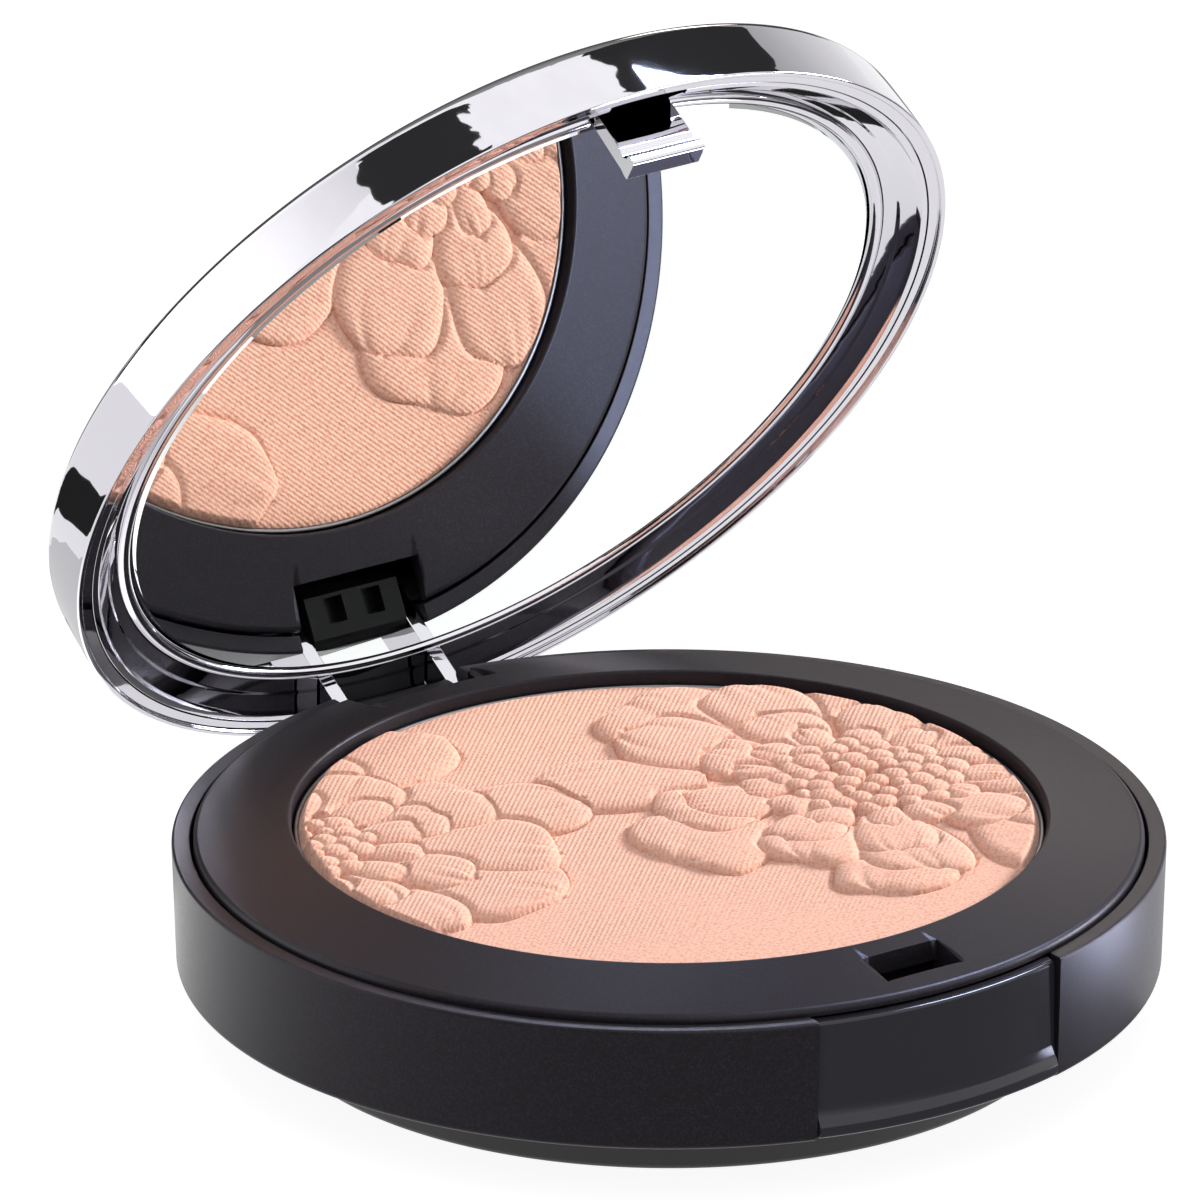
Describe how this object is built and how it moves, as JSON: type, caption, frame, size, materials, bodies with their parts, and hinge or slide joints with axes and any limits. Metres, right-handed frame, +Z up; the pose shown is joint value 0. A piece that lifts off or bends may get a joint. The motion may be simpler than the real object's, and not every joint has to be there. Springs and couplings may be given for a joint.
{
  "type": "powder compact",
  "caption": "Round push-button powder compact: black base with a sloping bezel around embossed pressed powder, and a chrome-plated lid with a mirror on a rear hinge.",
  "frame": {"origin": "middle of the foot's flat underside, on the base's axis", "axes": "+Z up out of the powder, -Y towards the push button at the front, +Y towards the hinge, +X to the right seen from the front; the hinge pin runs along X"},
  "size_m": [0.078, 0.0852, 0.0797],
  "materials": {
    "satin_black": "satin pearl-flake lacquer on moulded ABS",
    "foot_black": "satin moulded ABS",
    "gloss_black": "gloss moulded ABS",
    "pin_steel": "drawn steel",
    "adhesive": "hot-melt glue",
    "pan_aluminium": "deep-drawn sheet",
    "powder": "pressed powder, matte",
    "spring_steel": "drawn spring wire",
    "chrome_plate": "bright chrome plating on moulded ABS",
    "mirror_glass": "polished float glass with a ground bevel",
    "silvering": "silver layer with backing paint",
    "foam_tape": "double-sided foam tape"
  },
  "bodies": {
    "base": {"base_shell": "satin_black", "bottom_plate": "foot_black", "tray_ring": "satin_black", "hinge_block": "gloss_black", "hinge_pin": "pin_steel", "pan_adhesive": "adhesive", "powder_pan": "pan_aluminium", "pressed_powder": "powder", "spring_left": "spring_steel", "spring_right": "spring_steel"},
    "button": {"push_button": "gloss_black"},
    "lid": {"lid_shell": "chrome_plate", "mirror_frame": "chrome_plate", "mirror_glass": "mirror_glass", "mirror_silver": "silvering", "mirror_tape": "foam_tape"}
  },
  "joints": [
    {"name": "lid_hinge", "type": "hinge", "parent": "base", "child": "lid", "pos_m": [0, 0.03615, 0.0105], "axis": [-1, 0, 0], "range_deg": [-59, 60]},
    {"name": "button_press", "type": "slide", "parent": "base", "child": "button", "axis": [0, 1, 0], "range_m": [0, 0.001], "stiffness_N_per_m": 600, "springref_m": -0.001, "deforming": ["spring_left", "spring_right"]}
  ]
}
